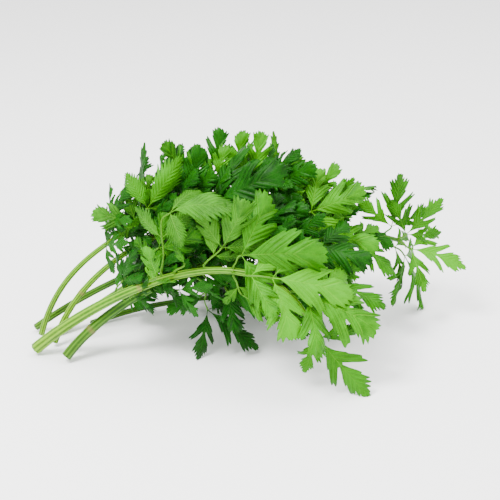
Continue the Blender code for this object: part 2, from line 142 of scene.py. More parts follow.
@dataclass
class FrameReader:
    """Reads stems and leaves back from the meshes of the CAD frame."""

    frame: dict
    ring_sides: int = 6
    hub_swelling: float = 1.3
    least_leaflet: float = 5.0 * MM
    least_share: float = 0.4
    least_spread: float = math.radians(45.0)
    tip_reach: float = 1.6 * MM
    tip_facet_share: float = 0.37
    flat_angle: float = math.radians(0.5)
    end_facing: float = 0.9
    top_facing: float = 0.7
    least_bend: float = math.radians(6.0)
    most_bend: float = math.radians(75.0)

    def slots(self) -> dict[str, str]:
        """The material slot of each node, from the record."""
        return {part["node"]: part["material_slot"] for part in self.frame["record"]["subparts"]}

    def welded(self, node: str) -> bmesh.types.BMesh:
        """Copies a node's mesh and welds its loose triangles.

        Args:
            node: The CAD node's name.

        Returns:
            The welded copy.
        """
        shape = bmesh.new()
        shape.from_mesh(self.frame["nodes"][node].data)
        bmesh.ops.remove_doubles(shape, verts=shape.verts, dist=WELD)
        shape.verts.ensure_lookup_table()
        return shape

    def read_stem(self, node: str, slot: str) -> StemPlace:
        """Finds the rings of a stem, from the cut end on.

        Args:
            node: The stem's CAD node.
            slot: Its material slot.

        Returns:
            The stem's place.
        """
        shape = self.welded(node)
        left = [corner.co.copy() for corner in shape.verts]
        shape.free()
        here = min(left, key=lambda spot: spot.x)
        line: list[Vector] = []
        radii: list[float] = []
        while left:
            seed = min(left, key=lambda spot: (spot - here).length)
            ring = sorted(left, key=lambda spot: (spot - seed).length)[: self.ring_sides]
            here = sum(ring, Vector()) / len(ring)
            line.append(here)
            radii.append(sum((spot - here).length for spot in ring) / len(ring))
            left = [spot for spot in left if spot not in ring]
        return StemPlace(node, slot, line, radii)

    def walk_stalk(self, shape: bmesh.types.BMesh) -> tuple[list[Vector], set[int]]:
        """Follows the rings of a leaf's stalk from its free end to the leaflets.

        Args:
            shape: The leaf's welded mesh.

        Returns:
            The middle of each ring, and the indices of the corners in them.
        """
        flat = shape.copy()
        bmesh.ops.dissolve_limit(flat, angle_limit=self.flat_angle, verts=flat.verts, edges=flat.edges)
        caps = [face for face in flat.faces if len(face.verts) == self.ring_sides and self.is_round(face)]
        cap = min(caps, key=lambda face: face.calc_area())
        corners = [corner.co.copy() for corner in cap.verts]
        flat.free()
        ring = {min(shape.verts, key=lambda v: (v.co - spot).length_squared).index for spot in corners}
        seen: set[int] = set()
        line: list[Vector] = []
        slim = math.inf
        while ring:
            spots = [shape.verts[i].co for i in ring]
            middle = sum(spots, Vector()) / len(spots)
            line.append(middle)
            seen |= ring
            radius = sum((spot - middle).length for spot in spots) / len(spots)
            slim = min(slim, radius)
            if len(ring) != self.ring_sides or radius > slim * self.hub_swelling:
                break
            ring = {
                edge.other_vert(shape.verts[i]).index for i in ring for edge in shape.verts[i].link_edges
            } - seen
        return line, seen

    @staticmethod
    def is_round(face: bmesh.types.BMFace) -> bool:
        """Tells whether all corners of a face lie equally far from its middle."""
        middle = sum((corner.co for corner in face.verts), Vector()) / len(face.verts)
        reaches = [(corner.co - middle).length for corner in face.verts]
        return max(reaches) < min(reaches) * ROUND_SLACK

    def read_leaf(self, node: str, slot: str) -> LeafPlace:
        """Finds the stalk and the leaflets of a leaf.

        Args:
            node: The leaf's CAD node.
            slot: Its material slot.

        Returns:
            The leaf's place.
        """
        shape = self.welded(node)
        line, stalk = self.walk_stalk(shape)
        hub = line[-1]
        away = {v.index: (v.co - hub).length for v in shape.verts if v.index not in stalk}
        peaks = [
            index for index, reach in away.items()
            if reach > self.least_leaflet and all(
                away.get(edge.other_vert(shape.verts[index]).index, 0.0) <= reach
                for edge in shape.verts[index].link_edges
            )
        ]
        peaks.sort(key=lambda index: -away[index])
        blades: list[BladePlace] = []
        for index in peaks:
            spot = shape.verts[index].co
            if away[index] < away[peaks[0]] * self.least_share:
                break
            if all((spot - hub).angle(blade.tip - hub) > self.least_spread for blade in blades):
                blades.append(self.read_blade(shape, hub, spot.copy()))
        shape.free()
        return LeafPlace(node, slot, line, blades)

    def read_blade(self, shape: bmesh.types.BMesh, base: Vector, tip: Vector) -> BladePlace:
        """Works out a leaflet's place from the faces around its tip.

        Args:
            shape: The leaf's mesh.
            base: Where the leaflet starts.
            tip: A corner of its tip.

        Returns:
            The leaflet's place.
        """
        corners = [v for v in shape.verts if (v.co - tip).length < self.tip_reach]
        tip = sum((v.co for v in corners), Vector()) / len(corners)
        axis = (tip - base).normalized()
        faces = {face for v in corners for face in v.link_faces}
        upper = Vector()
        for face in faces:
            if 0.0 < face.normal.dot(axis) < self.end_facing:
                upper += face.normal * face.calc_area()
        upper = (upper - axis * upper.dot(axis)).normalized()
        tops = [face for face in faces if face.normal.dot(upper) > self.top_facing]
        facing = sum((face.normal * face.calc_area() for face in tops), Vector())
        lean = math.atan2(facing.dot(axis), facing.dot(upper))
        bend = min(max(lean / self.tip_facet_share, self.least_bend), self.most_bend)
        return BladePlace(base, tip, upper, bend)


# ---------------------------------------------------------------- shader helpers


class ShaderBench:
    """Small helpers that add nodes to one node tree."""

    def __init__(self, tree: bpy.types.NodeTree) -> None:
        """Keeps the tree that the nodes go into."""
        self.tree = tree

    def node(self, kind: str, **settings: object) -> bpy.types.Node:
        """Adds a node.

        Args:
            kind: The node's type name.
            settings: Values set on it.

        Returns:
            The node.
        """
        made = self.tree.nodes.new(kind)
        for name, value in settings.items():
            setattr(made, name, value)
        return made

    def link(self, source: bpy.types.NodeSocket, target: bpy.types.NodeSocket) -> None:
        """Joins an output to an input."""
        self.tree.links.new(source, target)

    def math(self, operation: str, first: object, second: object = 0.5) -> bpy.types.NodeSocket:
        """Adds a Math node.

        Args:
            operation: The node's operation.
            first: A socket or a number.
            second: A socket or a number.

        Returns:
            The result's socket.
        """
        made = self.node("ShaderNodeMath", operation=operation)
        for slot, value in zip(made.inputs, (first, second)):
            if isinstance(value, bpy.types.NodeSocket):
                self.link(value, slot)
            else:
                slot.default_value = value
        return made.outputs[0]

    def blend(self, factor: object, first: object, second: object, mode: str = "MIX") -> bpy.types.NodeSocket:
        """Adds a Mix node for colours.

        Args:
            factor: A socket or a number.
            first: A socket or a colour.
            second: A socket or a colour.
            mode: The blend type.

        Returns:
            The result's socket.
        """
        made = self.node("ShaderNodeMix", data_type="RGBA", blend_type=mode)
        for slot, value in zip((made.inputs[0], made.inputs[6], made.inputs[7]), (factor, first, second)):
            if isinstance(value, bpy.types.NodeSocket):
                self.link(value, slot)
            else:
                slot.default_value = value
        return made.outputs[2]

    def band(self, value: object, low: float, high: float) -> bpy.types.NodeSocket:
        """Adds a smooth step that is 0 at low and 1 at high.

        Args:
            value: The socket that is read.
            low: Where the step starts.
            high: Where it ends.

        Returns:
            The result's socket.
        """
        made = self.node("ShaderNodeMapRange", interpolation_type="SMOOTHSTEP")
        self.link(value, made.inputs["Value"])
        made.inputs["From Min"].default_value = low
        made.inputs["From Max"].default_value = high
        return made.outputs["Result"]

    def attribute(self, name: str) -> bpy.types.NodeSocket:
        """Reads a number that is stored on the mesh."""
        return self.node("ShaderNodeAttribute", attribute_name=name).outputs["Fac"]

    def noise(self, scale: float, detail: float = 3.0, vector: object = None) -> bpy.types.NodeSocket:
        """Adds a noise pattern on Object coordinates.

        Args:
            scale: Its scale.
            detail: Its detail.
            vector: Other coordinates, if any.

        Returns:
            The pattern's socket.
        """
        made = self.node("ShaderNodeTexNoise")
        made.inputs["Scale"].default_value = scale
        made.inputs["Detail"].default_value = detail
        self.link(vector or self.node("ShaderNodeTexCoord").outputs["Object"], made.inputs["Vector"])
        return made.outputs["Fac"]


def colour(red: float, green: float, blue: float) -> tuple[float, float, float, float]:
    """Gives a colour with full alpha."""
    return (red, green, blue, 1.0)


def group_sockets(tree: bpy.types.NodeTree, inputs: dict, outputs: dict) -> None:
    """Gives a node group its named sockets.

    Args:
        tree: The group.
        inputs: Socket type and default value by name.
        outputs: Socket type by name.
    """
    for name, (kind, value) in inputs.items():
        socket = tree.interface.new_socket(name=name, in_out="INPUT", socket_type=kind)
        socket.default_value = value
    for name, kind in outputs.items():
        tree.interface.new_socket(name=name, in_out="OUTPUT", socket_type=kind)


def make_leaf_skin_group() -> bpy.types.NodeTree:
    """Builds the shared leaf pattern: midrib, side veins, a fine net, blotches and a painted highlight between the
    side veins.

    Returns:
        The node group.
    """
    tree = bpy.data.node_groups.new("leaf_skin", "ShaderNodeTree")
    group_sockets(
        tree,
        {
            "Blade": ("NodeSocketColor", colour(0.1, 0.3, 0.05)),
            "Deep": ("NodeSocketColor", colour(0.05, 0.2, 0.03)),
            "Light": ("NodeSocketColor", colour(0.2, 0.45, 0.08)),
            "Vein": ("NodeSocketColor", colour(0.3, 0.5, 0.15)),
            "Vein Strength": ("NodeSocketFloat", 0.6),
        },
        {"Colour": "NodeSocketColor", "Height": "NodeSocketFloat", "Gloss": "NodeSocketFloat"},
    )
    bench = ShaderBench(tree)
    given = bench.node("NodeGroupInput").outputs
    result = bench.node("NodeGroupOutput").inputs

    reach = bench.attribute("reach")  # millimetres from the midrib
    share = bench.attribute("share")  # 0 on the midrib, 1 at the margin
    phase = bench.attribute("phase")  # a whole number on each side vein
    tint = bench.attribute("tint")  # one value for each leaflet
    along = bench.attribute("along")  # 0 at the base, 1 at the tip

    wander = bench.math("MULTIPLY", bench.math("SUBTRACT", bench.noise(260.0, 2.0), 0.5), 0.12)
    nearest = bench.math("PINGPONG", bench.math("ADD", phase, wander), 0.5)
    side_vein = bench.math("SUBTRACT", 1.0, bench.band(nearest, 0.015, 0.085))
    fade = bench.math("SUBTRACT", 1.0, bench.band(share, 0.55, 1.0))
    side_vein = bench.math("MULTIPLY", side_vein, fade)
    rib_width = bench.math("MULTIPLY_ADD", along, -0.30)
    rib_width.node.inputs[2].default_value = 0.46
    midrib = bench.math("SUBTRACT", 1.0, bench.band(bench.math("DIVIDE", reach, rib_width), 0.45, 1.2))
    veins = bench.math("MAXIMUM", midrib, bench.math("MULTIPLY", side_vein, 0.75))

    cells = bench.node("ShaderNodeTexVoronoi", feature="DISTANCE_TO_EDGE")
    cells.inputs["Scale"].default_value = 620.0
    bench.link(bench.node("ShaderNodeTexCoord").outputs["Object"], cells.inputs["Vector"])
    net = bench.math("SUBTRACT", 1.0, bench.band(cells.outputs["Distance"], 0.02, 0.16))

    blotch = bench.band(bench.noise(75.0, 4.0), 0.40, 0.62)
    tone = bench.blend(blotch, given["Deep"], given["Blade"])
    tone = bench.blend(bench.math("MULTIPLY", bench.band(tint, 0.35, 1.0), 0.6), tone, given["Light"])
    # Painted highlight: the puffed parts between the side veins are blended towards the Light green, which leaves the
    # creases along the veins darker as painted shade.
    quilt = bench.math("MULTIPLY", bench.band(nearest, 0.1, 0.5), 0.35)
    tone = bench.blend(quilt, tone, given["Light"])
    tone = bench.blend(bench.math("MULTIPLY", net, 0.10), tone, given["Vein"])
    strength = bench.math("MULTIPLY", veins, given["Vein Strength"])
    bench.link(bench.blend(strength, tone, given["Vein"]), result["Colour"])

    puff = bench.math("MULTIPLY", bench.band(nearest, 0.0, 0.5), 0.5)
    grain = bench.math("MULTIPLY", net, -0.18)
    height = bench.math("ADD", puff, bench.math("ADD", grain, bench.math("MULTIPLY", veins, -0.5)))
    bench.link(height, result["Height"])
    bench.link(bench.band(bench.noise(420.0, 2.0), 0.2, 0.8), result["Gloss"])
    return tree


@dataclass(frozen=True)
class LeafFinish:
    """The colours of one side of a leaf."""

    name: str
    blade: tuple[float, float, float]
    deep: tuple[float, float, float]
    light: tuple[float, float, float]
    vein: tuple[float, float, float]
    vein_strength: float
    roughness: tuple[float, float]
    glow: float

    def make(self, skin: bpy.types.NodeTree) -> bpy.types.Material:
        """Makes the material.

        Args:
            skin: The shared leaf pattern.

        Returns:
            The material.
        """
        material = bpy.data.materials.new(self.name)
        material.use_nodes = True
        bench = ShaderBench(material.node_tree)
        shader = material.node_tree.nodes["Principled BSDF"]
        group = bench.node("ShaderNodeGroup", node_tree=skin)
        for name, value in (
            ("Blade", self.blade), ("Deep", self.deep), ("Light", self.light), ("Vein", self.vein),
        ):
            group.inputs[name].default_value = colour(*value)
        group.inputs["Vein Strength"].default_value = self.vein_strength
        bench.link(group.outputs["Colour"], shader.inputs["Base Color"])
        rough = bench.node("ShaderNodeMapRange")
        bench.link(group.outputs["Gloss"], rough.inputs["Value"])
        rough.inputs["To Min"].default_value, rough.inputs["To Max"].default_value = self.roughness
        bench.link(rough.outputs["Result"], shader.inputs["Roughness"])
        bump = bench.node("ShaderNodeBump")
        bump.inputs["Strength"].default_value = 0.8
        bump.inputs["Distance"].default_value = 0.4 * MM
        bench.link(group.outputs["Height"], bump.inputs["Height"])
        bench.link(bump.outputs["Normal"], shader.inputs["Normal"])
        shader.inputs["Subsurface Weight"].default_value = self.glow
        shader.inputs["Subsurface Radius"].default_value = (0.5, 1.0, 0.15)
        shader.inputs["Subsurface Scale"].default_value = 1.6 * MM
        shader.inputs["Specular IOR Level"].default_value = 0.08
        return material


UPPER_FINISHES = {
    "leaf_mid": LeafFinish("leaf_mid_upper", (0.016, 0.130, 0.0006), (0.004, 0.050, 0.0003),
                           (0.042, 0.235, 0.0006), (0.080, 0.270, 0.005), 0.55, (0.34, 0.50), 0.10),
    # The leaf_dark slot is a darker copy of leaf_mid: its greens are painted shade for the inner leaves.
    "leaf_dark": LeafFinish("leaf_dark_upper", (0.004, 0.054, 0.0010), (0.0012, 0.024, 0.0005),
                            (0.010, 0.100, 0.0012), (0.024, 0.128, 0.005), 0.36, (0.32, 0.48), 0.08),
    "leaf_young": LeafFinish("leaf_young_upper", (0.030, 0.200, 0.0006), (0.009, 0.082, 0.0004),
                             (0.062, 0.300, 0.0010), (0.120, 0.380, 0.006), 0.55, (0.36, 0.52), 0.12),
    "leaf_underside": LeafFinish("leaf_pale_upper", (0.030, 0.165, 0.004), (0.010, 0.074, 0.002),
                                 (0.060, 0.235, 0.008), (0.105, 0.310, 0.014), 0.55, (0.42, 0.58), 0.10),
}
UNDER_FINISHES = {
    "leaf_mid": LeafFinish("leaf_mid_under", (0.028, 0.142, 0.004), (0.015, 0.096, 0.002),
                           (0.050, 0.195, 0.007), (0.078, 0.240, 0.013), 0.42, (0.48, 0.64), 0.10),
    # The leaf_dark underside is likewise darker than leaf_mid's as painted shade.
    "leaf_dark": LeafFinish("leaf_dark_under", (0.013, 0.084, 0.004), (0.007, 0.054, 0.002),
                            (0.026, 0.122, 0.007), (0.050, 0.170, 0.012), 0.42, (0.48, 0.64), 0.08),
    "leaf_young": LeafFinish("leaf_young_under", (0.044, 0.195, 0.003), (0.024, 0.135, 0.002),
                             (0.076, 0.260, 0.006), (0.115, 0.320, 0.014), 0.42, (0.48, 0.64), 0.12),
    "leaf_underside": LeafFinish("leaf_pale_under", (0.027, 0.150, 0.004), (0.014, 0.100, 0.002),
                                 (0.052, 0.208, 0.007), (0.085, 0.255, 0.013), 0.42, (0.44, 0.60), 0.10),
}


@dataclass(frozen=True)
class StemFinish:
    """The colours of stems or of leaf stalks, from the cut end on."""

    name: str
    base: tuple[float, float, float]
    body: tuple[float, float, float]
    # groove is a dark green for the random patches, and painted shade in the grooves between the ribs.
    groove: tuple[float, float, float]
    rib: tuple[float, float, float]

    def make(self) -> bpy.types.Material:
        """Makes the material."""
        material = bpy.data.materials.new(self.name)
        material.use_nodes = True
        bench = ShaderBench(material.node_tree)
        shader = material.node_tree.nodes["Principled BSDF"]
        along = bench.attribute("along")
        rib = bench.attribute("rib")
        blush = bench.attribute("blush")
        streak = bench.node("ShaderNodeMapping")
        streak.inputs["Scale"].default_value = (0.22, 1.0, 1.0)
        bench.link(bench.node("ShaderNodeTexCoord").outputs["Object"], streak.inputs["Vector"])
        fibres = bench.noise(900.0, 3.0, streak.outputs["Vector"])
        patches = bench.band(bench.noise(60.0, 3.0), 0.35, 0.7)
        tone = bench.blend(bench.band(along, 0.0, 0.35), colour(*self.base), colour(*self.body))
        tone = bench.blend(bench.math("MULTIPLY", patches, 0.45), tone, colour(*self.groove))
        # The paler ridges are partly the stem's own paler ribs and partly painted highlight; the darker grooves
        # between them are painted shade.
        ridge_tone_and_highlight = bench.math("MULTIPLY", bench.band(rib, 0.2, 0.9), 0.7)
        tone = bench.blend(ridge_tone_and_highlight, tone, colour(*self.rib))
        painted_groove_shade = bench.math("MULTIPLY", bench.band(rib, -0.1, -0.9), 0.75)
        tone = bench.blend(painted_groove_shade, tone, colour(*self.groove))
        strands = bench.math("MULTIPLY", bench.band(fibres, 0.45, 0.75), 0.25)
        tone = bench.blend(strands, tone, colour(*self.rib))
        tone = bench.blend(bench.math("MULTIPLY", blush, 0.6), tone, colour(0.20, 0.12, 0.05))
        bench.link(tone, shader.inputs["Base Color"])
        rough = bench.node("ShaderNodeMapRange")
        bench.link(fibres, rough.inputs["Value"])
        rough.inputs["To Min"].default_value = 0.28
        rough.inputs["To Max"].default_value = 0.50
        bench.link(rough.outputs["Result"], shader.inputs["Roughness"])
        bump = bench.node("ShaderNodeBump")
        bump.inputs["Strength"].default_value = 0.4
        bump.inputs["Distance"].default_value = 0.15 * MM
        bench.link(fibres, bump.inputs["Height"])
        bench.link(bump.outputs["Normal"], shader.inputs["Normal"])
        shader.inputs["Subsurface Weight"].default_value = 0.12
        shader.inputs["Subsurface Radius"].default_value = (0.6, 1.0, 0.25)
        shader.inputs["Subsurface Scale"].default_value = 1.5 * MM
        shader.inputs["Specular IOR Level"].default_value = 0.2
        return material


STEM_FINISHES = {
    "stem_green": StemFinish("stem_green_skin", (0.120, 0.250, 0.003), (0.066, 0.215, 0.001),
                             (0.014, 0.080, 0.0005), (0.190, 0.400, 0.004)),
    "stem_dark": StemFinish("stem_dark_skin", (0.050, 0.130, 0.002), (0.020, 0.100, 0.001),
                            (0.006, 0.040, 0.0005), (0.070, 0.210, 0.002)),
}
STALK_FINISH = StemFinish("stalk_skin", (0.042, 0.170, 0.001), (0.050, 0.185, 0.002), (0.018, 0.090, 0.001),
                          (0.120, 0.290, 0.006))


# ---------------------------------------------------------------- leaves


class LeafForm(Enum):
    """Half outlines of a leaflet: (place on the midrib, reach along the side vein).

    Both are in leaflet lengths. Peaks are teeth, and each has a side vein.
    """

    FAN = (
        (0.00, 0.010), (0.04, 0.12), (0.08, 0.28), (0.12, 0.44), (0.15, 0.40), (0.21, 0.56), (0.25, 0.50),
        (0.305, 0.52), (0.34, 0.34), (0.37, 0.17), (0.40, 0.13), (0.43, 0.19), (0.48, 0.38), (0.515, 0.33),
        (0.585, 0.43), (0.63, 0.34), (0.71, 0.34), (0.755, 0.22), (0.85, 0.20), (0.90, 0.13), (0.96, 0.09),
        (1.00, 0.0),
    )
    CUT = (
        (0.00, 0.010), (0.05, 0.05), (0.09, 0.12), (0.12, 0.30), (0.145, 0.27), (0.19, 0.50), (0.225, 0.43),
        (0.265, 0.46), (0.295, 0.28), (0.325, 0.08), (0.37, 0.05), (0.41, 0.11), (0.45, 0.29), (0.48, 0.24),
        (0.54, 0.38), (0.575, 0.28), (0.63, 0.30), (0.67, 0.17), (0.73, 0.22), (0.77, 0.14), (0.84, 0.15),
        (0.90, 0.10), (0.96, 0.07), (1.00, 0.0),
    )
    FERN = (
        (0.00, 0.010), (0.04, 0.07), (0.08, 0.24), (0.105, 0.17), (0.15, 0.37), (0.18, 0.22), (0.235, 0.44),
        (0.27, 0.25), (0.32, 0.46), (0.36, 0.25), (0.415, 0.43), (0.455, 0.24), (0.51, 0.39), (0.55, 0.21),
        (0.61, 0.33), (0.65, 0.17), (0.71, 0.26), (0.75, 0.13), (0.82, 0.19), (0.86, 0.10), (0.93, 0.10),
        (0.97, 0.05), (1.00, 0.0),
    )
    FINGER = (
        (0.00, 0.010), (0.06, 0.07), (0.14, 0.20), (0.18, 0.16), (0.26, 0.25), (0.31, 0.15), (0.40, 0.14),
        (0.48, 0.24), (0.53, 0.16), (0.62, 0.15), (0.71, 0.18), (0.77, 0.10), (0.88, 0.08), (0.95, 0.05),
        (1.00, 0.0),
    )


FORMS = {
    "leaf_end_upper": LeafForm.CUT,
    "leaf_end_middle": LeafForm.CUT,
    "leaf_end_right": LeafForm.CUT,
    "leaf_end_low": LeafForm.CUT,
    "leaf_front_drooping": LeafForm.CUT,
    "leaf_front_tips": LeafForm.CUT,
    "leaf_right_drop": LeafForm.CUT,
    "leaf_right_horn": LeafForm.CUT,
    "leaf_low_pair": LeafForm.CUT,
    "leaf_arching": LeafForm.FERN,
    "leaf_left_fan": LeafForm.FERN,
    "leaf_crown_fingers": LeafForm.FINGER,
    "leaf_left_curl": LeafForm.FINGER,
    "leaf_right_thread": LeafForm.FINGER,
    "leaf_axil": LeafForm.FINGER,
}


@dataclass
class LeafletGrower:
    """Makes one leaflet: a grid laid along its side veins, then bent, cupped and quilted."""

    place: BladePlace
    form: LeafForm
    rng: random.Random
    rows: int = 5
    splits: int = 4
    neck: float = 0.09
    sweep_base: float = math.radians(44.0)
    sweep_tip: float = math.radians(22.0)
    keel: tuple[float, float] = (0.02, 0.30)
    droop: tuple[float, float] = (0.30, 1.00)
    jitter: float = 0.10
    quilt: float = 0.020
    wave: float = 0.10
    wave_slant: float = 1.7
    quilt_relief: float = 2.2
    quilt_margin: float = 0.93
    quilt_edge: float = 0.8
    growth: tuple[float, float] = (0.90, 1.08)
    ripple_range: tuple[float, float] = (1.6, 2.6)
    lean_range: tuple[float, float] = (-0.16, 0.16)
    twist_range: tuple[float, float] = (-0.50, 0.50)
    sides: tuple[list[tuple[float, float]], ...] = field(init=False)

    def __post_init__(self) -> None:
        """Draws the two uneven half outlines and the values that vary from leaflet to leaflet."""
        self.sides = tuple(self.uneven_outline() for _ in range(2))
        self.tint = self.rng.random()
        self.swing = self.rng.uniform(0.0, math.tau)
        self.ripples = self.rng.uniform(*self.ripple_range)
        self.lean = self.rng.uniform(*self.lean_range)
        self.twist = self.rng.uniform(*self.twist_range)
        self.rise = self.rng.uniform(*self.keel)
        self.hang = self.rng.uniform(*self.droop)

    def uneven_outline(self) -> list[tuple[float, float]]:
        """Varies the form's half outline a little.

        Returns:
            The half outline of one side.
        """
        grow = self.rng.uniform(*self.growth)
        return [
            (place, reach * grow * self.rng.uniform(1.0 - self.jitter, 1.0 + self.jitter))
            for place, reach in self.form.value
        ]

    def columns(self) -> list[tuple[float, float, float, float]]:
        """Lists the grid's columns.

        Returns:
            For each column: its place, its vein phase and its reach on both sides.
        """
        form = self.form.value
        peaks = [
            i for i in range(1, len(form) - 1)
            if form[i][1] > form[i - 1][1] and form[i][1] >= form[i + 1][1]
        ]
        knots = [0, *peaks, len(form) - 1]
        listed: list[tuple[float, float, float, float]] = []
        for i in range(len(form) - 1):
            splits = self.splits if {i, i + 1} & set(peaks) else 2
            for step in range(splits):
                share = step / splits
                place = form[i][0] + (form[i + 1][0] - form[i][0]) * share
                eased = share
                if i + 1 in peaks:
                    eased = math.sin(share * math.pi / 2)
                elif i in peaks:
                    eased = 1.0 - math.cos(share * math.pi / 2)
                reaches = [side[i][1] + (side[i + 1][1] - side[i][1]) * eased for side in self.sides]
                listed.append((place, self.phase(place, knots), *reaches))
        listed.append((1.0, float(len(knots) - 1), 0.0, 0.0))
        blade = 1.0 - self.neck
        narrow = form[0][1]
        moved = [
            (self.neck + blade * spot, phase, left * blade, right * blade)
            for spot, phase, left, right in listed
        ]
        return [(0.0, 0.0, narrow, narrow), *moved]

    def phase(self, place: float, knots: list[int]) -> float:
        """Gives a number that is whole on each side vein and half between two.

        Args:
            place: The place on the midrib.
            knots: The outline points that have a side vein.

        Returns:
            The phase.
        """
        form = self.form.value
        for k, (a, b) in enumerate(zip(knots, knots[1:])):
            if place <= form[b][0] + 1e-9:
                return k + (place - form[a][0]) / (form[b][0] - form[a][0])
        return float(len(knots) - 1)

    def build(self, shape: bmesh.types.BMesh) -> None:
        """Adds the leaflet to a mesh.

        Args:
            shape: The mesh, which has the float layers that the leaf pattern reads.
        """
        columns = self.columns()
        layers = {name: shape.verts.layers.float[name] for name in LEAF_LAYERS}
        made = bmesh.ops.create_grid(
            shape, x_segments=len(columns) - 1, y_segments=2 * self.rows, size=1.0
        )["verts"]
        place = self.place
        axis = (place.tip - place.base).normalized()
        side = axis.cross(place.upper).normalized()
        start = Matrix.Rotation(place.bend / 2, 3, side) @ axis
        rise = side.cross(start)
        arc = place.length * (place.bend / 2) / math.sin(place.bend / 2)
        for corner in made:
            spot, phase, reach_left, reach_right = columns[round((corner.co.x + 1) / 2 * (len(columns) - 1))]
            share = corner.co.y
            reach = (reach_left if share < 0 else reach_right) * abs(share)
            sweep = self.sweep_base + (self.sweep_tip - self.sweep_base) * spot
            forward = spot + reach * math.cos(sweep)
            across = math.copysign(reach * math.sin(sweep), share)
            across += self.lean * forward * forward * 0.5
            curl = place.bend * forward
            quilt = self.quilt * math.sin(math.pi * phase) ** 2
            quilt *= math.sin(math.pi * min(abs(share), self.quilt_margin)) ** self.quilt_edge
            turn = self.swing + math.tau * self.ripples * forward + self.wave_slant * share
            wave = self.wave * math.sin(turn) * reach
            height = abs(across) * self.rise + quilt * reach * self.quilt_relief + wave
            height -= self.hang * reach * reach
            height += self.twist * across * forward
            ahead = arc * math.sin(curl) / place.bend
            down = arc * (1 - math.cos(curl)) / place.bend
            middle = start * ahead - rise * down
            normal = rise * math.cos(curl) + start * math.sin(curl)
            corner[layers["reach"]] = reach * arc / MM
            corner[layers["share"]] = abs(share)
            corner[layers["phase"]] = phase
            corner[layers["tint"]] = self.tint
            corner[layers["along"]] = forward
            corner.co = place.base + middle - side * across * arc + normal * height * arc
            corner.co.z = max(corner.co.z, REST_HEIGHT)


def new_piece(shape: bmesh.types.BMesh, name: str, materials: list[bpy.types.Material], node: str) -> bpy.types.Object:
    """Turns a mesh into a finished piece of the bunch.

    Args:
        shape: The mesh, which is freed.
        name: The piece's name.
        materials: Its materials, in order.
        node: The CAD node that it replaces.

    Returns:
        The piece.
    """
    mesh = bpy.data.meshes.new(name)
    shape.to_mesh(mesh)
    shape.free()
    for material in materials:
        mesh.materials.append(material)
    piece = bpy.data.objects.new(name, mesh)
    bpy.context.scene.collection.objects.link(piece)
    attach(piece, BODY)
    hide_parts(node)
    return piece


@dataclass
class LeafGrower:
    """Grows one leaf: its leaflets, and a stalk with a foot that runs into its stem."""

    place: LeafPlace
    stems: list[StemPlace]
    form: LeafForm
    rng: random.Random
    rows: int = 5
    splits: int = 4
    stalk_radius: float = 0.62 * MM
    stalk_foot: float = 1.15 * MM
    stalk_sides: int = 8
    least_paired_stalk: float = 11.0 * MM
    pair_place: float = 0.55
    pair_share: float = 0.60
    pair_angle: float = math.radians(52.0)
    pair_pitch: float = math.radians(14.0)
    pair_room: float = 2.0 * MM
    pair_bend: float = math.radians(25.0)
    pair_grid: tuple[int, int] = (4, 3)
    stalk_step: float = 1.8 * MM
    stalk_taper: float = 0.2
    stalk_ribs: int = 4
    stalk_rib_depth: float = 0.06
    foot_depth: float = 0.5
    foot_fade: float = 4.0

    def add_blades(self, shape: bmesh.types.BMesh) -> None:
        """Adds the leaflets to a mesh.

        Args:
            shape: The mesh.
        """
        for blade in self.place.blades:
            LeafletGrower(blade, self.form, self.rng, self.rows, self.splits).build(shape)
        for blade in self.lower_pair():
            LeafletGrower(blade, self.form, self.rng, *self.pair_grid).build(shape)

    def lower_pair(self) -> list[BladePlace]:
        """Finds room for a pair of smaller leaflets lower down a long stalk.

        Returns:
            The places of those that stay clear of the stems and the surface.
        """
        stalk = self.place.stalk
        runs = [(b - a).length for a, b in zip(stalk, stalk[1:])]
        total = sum(runs)
        if total < self.least_paired_stalk:
            return []
        left = total * self.pair_place
        index = 0
        while left > runs[index]:
            left -= runs[index]
            index += 1
        ahead = (stalk[index + 1] - stalk[index]).normalized()
        base = stalk[index] + ahead * left
        middle = self.place.blades[0]
        upper = (middle.upper - ahead * middle.upper.dot(ahead)).normalized()
        length = min(middle.length * self.pair_share, total)
        pair = []
        for hand in (-1, 1):
            outward = Matrix.Rotation(self.pair_angle * hand, 3, upper) @ ahead
            pitch = Matrix.Rotation(-self.pair_pitch, 3, outward.cross(upper))
            tip = base + pitch @ outward * length
            near, radius = nearest_on_lines(tip, self.stems)
            if (tip - near).length > radius + self.pair_room and tip.z > self.pair_room:
                pair.append(BladePlace(base, tip, pitch @ upper, self.pair_bend))
        return pair

    def add_stalk(self, shape: bmesh.types.BMesh) -> None:
        """Adds the stalk to a mesh.

        Args:
            shape: The mesh.
        """
        first = self.place.stalk[0]
        root, radius = nearest_on_lines(first, self.stems)
        inward = (root - first).normalized()
        foot = first + inward * max((root - first).length - radius * self.foot_depth, 0.0)
        route = smooth_line([foot, *self.place.stalk], self.stalk_step)
        radii = []
        for i in range(len(route)):
            share = i / (len(route) - 1)
            flare = (self.stalk_foot - self.stalk_radius) * max(0.0, 1.0 - share * self.foot_fade) ** 2
            radii.append(self.stalk_radius * (1.0 - self.stalk_taper * share) + flare)
        TubeMaker(route, radii, self.stalk_sides, self.stalk_ribs, self.stalk_rib_depth).add(shape)


